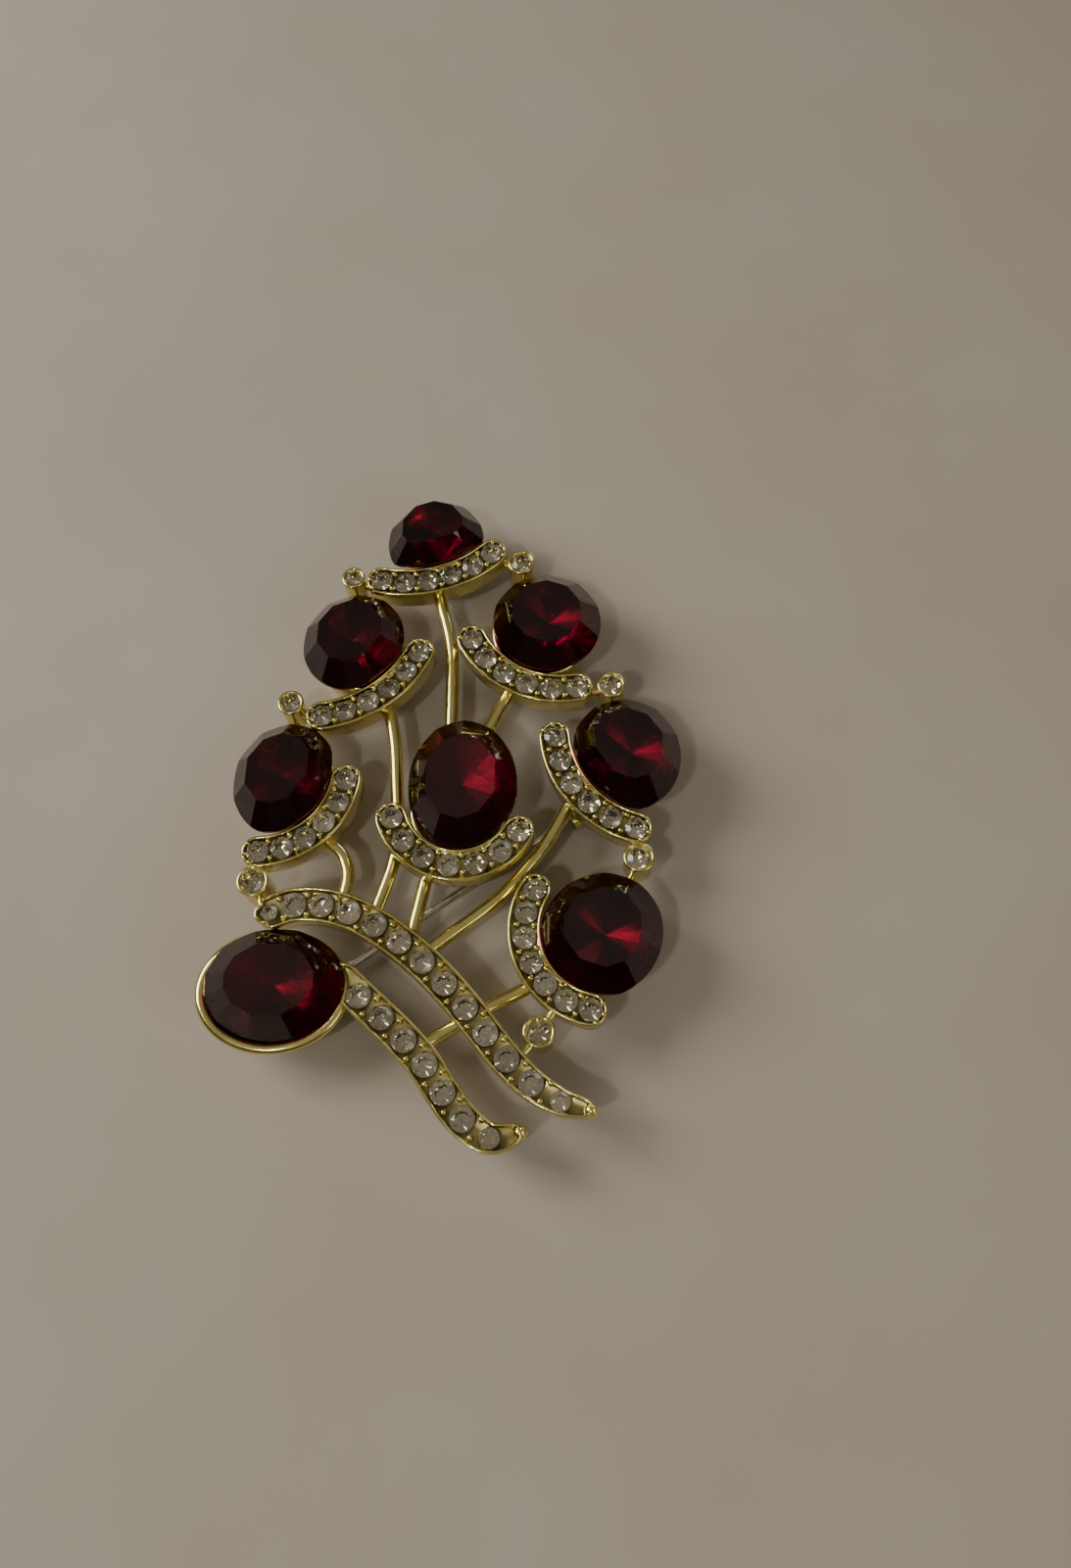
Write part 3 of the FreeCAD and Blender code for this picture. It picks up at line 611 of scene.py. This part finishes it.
def oval_cup():
    """The shallow cup of the oval stone, whose rolled rim is heaviest at the lower left."""
    low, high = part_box("oval_cup")
    centre = ((low + high) / 2 / MM).xy
    half_long, half_wide = (high.x - low.x) / 2 / MM, (high.y - low.y) / 2 / MM
    bottom, top = low.z / MM, high.z / MM
    middle = half_wide - 0.01
    profile = [(middle, bottom), (1.9, bottom), (1.35, bottom + 0.12),
               (0.8, bottom + 0.5), (0.42, bottom + 1.1), (0.15, top - 1.3), (-0.05, top - 0.95)]
    profile += rolled_edge(OVAL_RIM_SWELL, OVAL_RIM_HALF, top)
    profile += [(1.4, bottom + 1.1), (middle, bottom + CUP_FLOOR)]
    loops = []
    for inset, z in profile:
        share = min(max((z - bottom) / (top - bottom), 0), 1)
        place = centre + OVAL_RIM_SHIFT * share
        loops.append([(p + place).to_3d() + Vector((0, 0, z))
                      for p in oval_loop(half_long, half_wide, inset)])
    stone = red_stone("oval_red_stone", OVAL_STONE_MAINS)
    bowl = combine(loft(loops, True), stone.copy(), "DIFFERENCE")
    finish_piece("oval_cup_cast", bowl, GOLD, "oval_cup", CAST_SMOOTHING)
    finish_red_stone("oval_red_stone", stone)


def curve_through(points, pieces=10):
    """A smooth line through points of the plan, with its headings."""
    padded = [2 * points[0] - points[1]] + points + [2 * points[-1] - points[-2]]
    line = []
    for a, b, c, d in zip(padded, padded[1:], padded[2:], padded[3:]):
        line += [spline(a, b, c, d, k / pieces) for k in range(pieces)]
    line.append(points[-1])
    headings = [(line[min(i + 1, len(line) - 1)] - line[max(i - 1, 0)]).normalized()
                for i in range(len(line))]
    return line, headings


def beside_oval():
    """The column of space over the oval cup's plan, a little inside its outer edge. It keeps the
    ribbons' starts out of the oval stone."""
    low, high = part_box("oval_cup")
    centre = ((low + high) / 2 / MM).xy
    reach = (high - low).xy / 2 / MM - Vector((0.15, 0.15))
    return loft([ellipse(centre, reach.x, reach.y, z, 64) for z in (low.z / MM - 1, 12)], True)


def ribbon_tail(name, start_reach, start_half_width):
    """A ribbon along its row of clear stones, which starts this far before the first stone, opens
    to its full width, and ends in a ball."""
    node = name + "_tail"
    stones = sorted(round_solids(node + "_clear_stones"), key=lambda found: found[0].x)
    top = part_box(node)[1].z / MM
    points = node_points(node)
    end_x = max(p.x for p in points)
    end_y = [p.y for p in points if p.x > end_x - 0.02]
    tip = Vector((end_x - TIP_BALL, sum(end_y) / len(end_y)))
    plan = [p.xy for p, _ in stones]
    start = plan[0] + (plan[0] - plan[1]).normalized() * start_reach
    line, headings = curve_through([start] + plan + [tip])
    widths = []
    for i in range(len(line)):
        share = i / (len(line) - 1)
        opening = math.sin(min(share / OPENING_SHARE, 1) * TAU / 4)
        full = start_half_width + (TAIL_HALF_WIDTH - start_half_width) * opening
        narrowing = math.sqrt(1 - share ** NARROWING_POWER)
        widths.append(TIP_HALF_WIDTH + (full - TIP_HALF_WIDTH) * narrowing)
    ribbon = band(line, headings, widths, top, TAIL_HEIGHT)
    girdle = top - CLEAR_GIRDLE_BELOW_TOP
    places = [(Vector((p.x, p.y, girdle)), radius) for p, radius in stones]
    ribbon = combine(ribbon, seat_tool(places), "DIFFERENCE")
    ribbon = combine(ribbon, beside_oval(), "DIFFERENCE")
    between_stones = grain_spots(plan, TAIL_HALF_WIDTH)[:2 * len(plan) - 2]
    merge(ribbon, grains(between_stones, top))
    ball = bmesh.new()
    bmesh.ops.create_icosphere(ball, subdivisions=3, radius=TIP_BALL,
                               matrix=Matrix.Translation((tip.x, tip.y, top - TIP_BALL)))
    merge(ribbon, ball)
    paint_recess_shade(finish_piece(node + "_cast", ribbon, GOLD, node, CAST_SMOOTHING), top)
    clear_stones(node + "_clear_stones_cut", node + "_clear_stones", places)


def links():
    """Clear stones in the small round bezels, and a rolled edge on each bezel."""
    stones = round_solids("link_clear_stones")
    places = [(p - Vector((0, 0, LINK_STONE_SINK)), radius) for p, radius in stones]
    clear_stones("link_clear_stones_cut", "link_clear_stones", places)
    wire = LINK_WIRE
    for name in LINKS:
        low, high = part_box(name + "_link")
        middle = ((low + high) / 2 / MM).xy
        spot, stone_radius = min(stones, key=lambda found: (found[0].xy - middle).length)
        ring_radius = stone_radius + wire
        top = high.z / MM
        loops = [circle(spot, ring_radius + wire * math.cos(a), top + wire * math.sin(a), 40)
                 for a in (TAU * k / 12 for k in range(12))]
        rim = loft(loops + loops[:1])
        prongs = [spot.xy + ring_radius * Vector((math.cos(a), math.sin(a)))
                  for a in (TAU * (k + 0.5) / 4 for k in range(4))]
        merge(rim, grains(prongs, top + 0.1, wire + 0.03, 0.3))
        finish_piece(name + "_link_rim", rim, GOLD, None, WIRE_SMOOTHING)


# ---------------------------------------------------------------- materials
def new_material(name):
    """A material with its node tree, its shader and the place to look up patterns with."""
    material = bpy.data.materials.new(name)
    material.use_nodes = True
    tree = material.node_tree
    shader = tree.nodes["Principled BSDF"]
    place = tree.nodes.new("ShaderNodeTexCoord")
    return material, tree, shader, place.outputs["Object"]


def noise(tree, place, scale, detail=3.0):
    node = tree.nodes.new("ShaderNodeTexNoise")
    node.inputs["Scale"].default_value = scale
    node.inputs["Detail"].default_value = detail
    node.inputs["Roughness"].default_value = 0.55
    tree.links.new(place, node.inputs["Vector"])
    return node.outputs["Fac"]


def ramp(tree, source, stops):
    """Colours spread over a value from 0 to 1, by pairs (position, colour)."""
    node = tree.nodes.new("ShaderNodeValToRGB")
    while len(node.color_ramp.elements) < len(stops):
        node.color_ramp.elements.new(0.5)
    for element, (position, colour) in zip(node.color_ramp.elements, stops):
        element.position = position
        element.color = (*colour, 1)
    tree.links.new(source, node.inputs["Fac"])
    return node.outputs["Color"]


def spread(tree, source, low, high):
    """A noise value stretched to a range of numbers."""
    node = tree.nodes.new("ShaderNodeMapRange")
    node.inputs["From Min"].default_value = 0.3
    node.inputs["From Max"].default_value = 0.7
    node.inputs["To Min"].default_value = low
    node.inputs["To Max"].default_value = high
    tree.links.new(source, node.inputs["Value"])
    return node.outputs["Result"]


def bump(tree, shader, source, strength, distance):
    node = tree.nodes.new("ShaderNodeBump")
    node.inputs["Strength"].default_value = strength
    node.inputs["Distance"].default_value = distance
    tree.links.new(source, node.inputs["Height"])
    tree.links.new(node.outputs["Normal"], shader.inputs["Normal"])


def metal(name, stops, tint_scale, rough_scale, rough):
    """A metal of uneven tint and roughness; each unevenness has its own scale."""
    material, tree, shader, place = new_material(name)
    tint = ramp(tree, noise(tree, place, tint_scale), stops)
    tree.links.new(tint, shader.inputs["Base Color"])
    shader.inputs["Metallic"].default_value = 1.0
    uneven = spread(tree, noise(tree, place, rough_scale), *rough)
    tree.links.new(uneven, shader.inputs["Roughness"])
    return material, tree, shader, place


def gold(name, dark, middle, light, rough):
    stops = ((0.30, dark), (0.55, middle), (0.80, light))
    material, tree, shader, place = metal(name, stops, 420, 900, rough)
    bump(tree, shader, noise(tree, place, 900), 0.3, 0.00006)
    return material


def foil(name, dark, light, rough):
    return metal(name, ((0.3, dark), (0.7, light)), 260, 500, rough)[0]


def steel():
    stops = ((0.3, (0.50, 0.47, 0.42)), (0.7, (0.68, 0.65, 0.60)))
    material, tree, shader, place = metal("pin_steel", stops, 600, 1200, (0.22, 0.36))
    bump(tree, shader, noise(tree, place, 3000, 2), 0.25, 0.00003)
    return material


def glass(name, dark, light, rough):
    material, tree, shader, place = new_material(name)
    tint = ramp(tree, noise(tree, place, 160), ((0.3, dark), (0.7, light)))
    tree.links.new(tint, shader.inputs["Base Color"])
    shader.inputs["Transmission Weight"].default_value = 1.0
    shader.inputs["IOR"].default_value = 1.55
    tree.links.new(spread(tree, noise(tree, place, 700), *rough), shader.inputs["Roughness"])
    return material


# ---------------------------------------------------------------- stage
def floor():
    """A plain pale floor that the brooch lies on."""
    material, tree, shader, place = new_material("pale_floor")
    stops = ((0.3, (0.42, 0.37, 0.31)), (0.7, (0.46, 0.41, 0.35)))
    tint = ramp(tree, noise(tree, place, 30), stops)
    tree.links.new(tint, shader.inputs["Base Color"])
    shader.inputs["Roughness"].default_value = 0.9
    half = 1.5
    mesh = bpy.data.meshes.new("floor")
    corners = [(-half, -half), (half, -half), (half, half), (-half, half)]
    mesh.from_pydata([(x, y, 0) for x, y in corners], [], [(0, 1, 2, 3)])
    mesh.materials.append(material)
    piece = bpy.data.objects.new("floor", mesh)
    bpy.context.scene.collection.objects.link(piece)


def area_light(name, place, width, power, colour):
    """A square light that faces the brooch."""
    lamp = bpy.data.lights.new(name, "AREA")
    lamp.size = width
    lamp.energy = power
    lamp.color = colour
    holder = bpy.data.objects.new(name, lamp)
    holder.location = place
    holder.rotation_euler = (-Vector(place)).to_track_quat("-Z", "Y").to_euler()
    bpy.context.scene.collection.objects.link(holder)


def lights():
    """A warm key from the upper left, a faint fill, a small lamp for sparkle and a cool window."""
    area_light("key", (-0.30, 0.09, 0.25), 0.20, 1.15, (1.0, 0.96, 0.89))
    area_light("fill", (0.26, -0.20, 0.22), 0.14, 0.15, (1.0, 0.93, 0.82))
    area_light("spark", (-0.10, -0.16, 0.36), 0.025, 0.22, (1.0, 0.97, 0.92))
    area_light("window", (0.50, 0.75, 0.12), 0.40, 1.2, (0.80, 0.90, 1.0))


def room():
    """The light that comes from all round: a pale ceiling, and dark below."""
    world = bpy.data.worlds.new("room")
    bpy.context.scene.world = world
    world.use_nodes = True
    tree = world.node_tree
    background = tree.nodes["Background"]
    place = tree.nodes.new("ShaderNodeTexCoord")
    split = tree.nodes.new("ShaderNodeSeparateXYZ")
    tree.links.new(place.outputs["Generated"], split.inputs["Vector"])
    stops = ((0.0, (0.02, 0.017, 0.013)), (0.3, (0.07, 0.062, 0.05)), (1.0, (0.42, 0.38, 0.32)))
    tree.links.new(ramp(tree, split.outputs["Z"], stops), background.inputs["Color"])
    background.inputs["Strength"].default_value = 0.7


def camera():
    """Seen from above the foot of the spray, tilted a little and slightly rolled."""
    tilt, roll = math.radians(20.313), math.radians(-5.74)
    up = Vector((math.sin(tilt) * math.sin(roll), math.sin(tilt) * math.cos(roll), math.cos(tilt)))
    right = Vector((1, 0, 0))
    right = (right - up * right.dot(up)).normalized()
    away = up.cross(right)
    data = bpy.data.cameras.new("camera")
    data.lens = 30.375
    data.sensor_fit = "VERTICAL"
    data.sensor_height = 36
    data.clip_start = 0.001
    holder = bpy.data.objects.new("camera", data)
    turn = Matrix((right, away, up)).to_4x4()
    holder.matrix_world = Matrix.Translation((0.0128, -0.04346, 0.12787)) @ turn
    bpy.context.scene.collection.objects.link(holder)
    bpy.context.scene.camera = holder


# ---------------------------------------------------------------- the whole brooch
GOLD = gold("gold_plating",
            (0.71, 0.61, 0.21), (0.80, 0.70, 0.26), (0.86, 0.77, 0.33), (0.13, 0.22))
# Painted shade: a darker, rougher gold for the bands' recesses.
SHADED_RECESS_GOLD = gold("painted_shade_gold",
              (0.24, 0.20, 0.08), (0.40, 0.34, 0.14), (0.54, 0.48, 0.22), (0.25, 0.45))
STEEL = steel()
RED_FOIL = foil("red_foil", (0.18, 0.008, 0.062), (0.23, 0.011, 0.080), (0.22, 0.34))
SILVER_FOIL = foil("silver_foil", (0.66, 0.63, 0.54), (0.93, 0.91, 0.83), (0.02, 0.10))
RED_GLASS = glass("ruby_glass", (0.28, 0.006, 0.065), (0.38, 0.010, 0.090), (0.02, 0.07))
CLEAR_GLASS = glass("clear_glass", (0.86, 0.84, 0.78), (0.97, 0.96, 0.92), (0.0, 0.06))

camera()
floor()
lights()
room()
for node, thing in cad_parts.items():
    for material_slot in thing.material_slots:
        material_slot.material = STEEL if node in ("pin_stem", "hinge_rivet") else GOLD
for flower_name in FLOWERS:
    flower(flower_name)
oval_cup()
ribbon_tail("long", start_reach=0.5, start_half_width=0.95)
ribbon_tail("short", start_reach=2.2, start_half_width=TAIL_HALF_WIDTH)
links()
